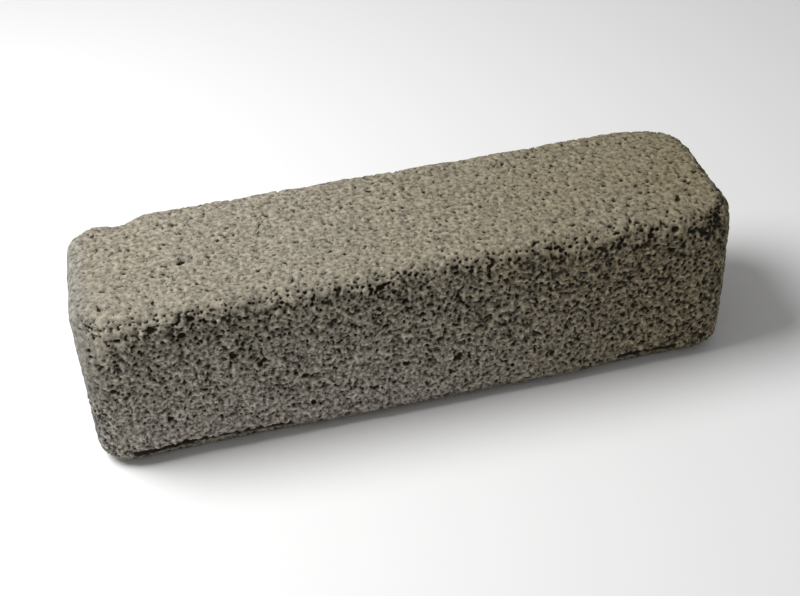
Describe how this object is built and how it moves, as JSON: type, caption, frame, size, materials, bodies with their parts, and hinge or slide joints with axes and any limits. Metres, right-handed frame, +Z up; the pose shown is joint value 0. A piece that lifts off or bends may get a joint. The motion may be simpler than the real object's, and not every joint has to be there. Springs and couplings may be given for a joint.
{
  "type": "pumice stone",
  "caption": "Rectangular block of porous foamed stone with rounded corners, worn edges and open pits, for scouring; rests on its flat underside.",
  "frame": {"origin": "middle of the flat underside", "axes": "+X along the block's long side, +Z up out of its top, -Y out of the side that shows its pores most"},
  "size_m": [0.1501, 0.0423, 0.0414],
  "materials": {
    "pumice": "matt, dry, open-pored"
  },
  "bodies": {
    "root": {"pumice_stone": "pumice"}
  },
  "joints": []
}
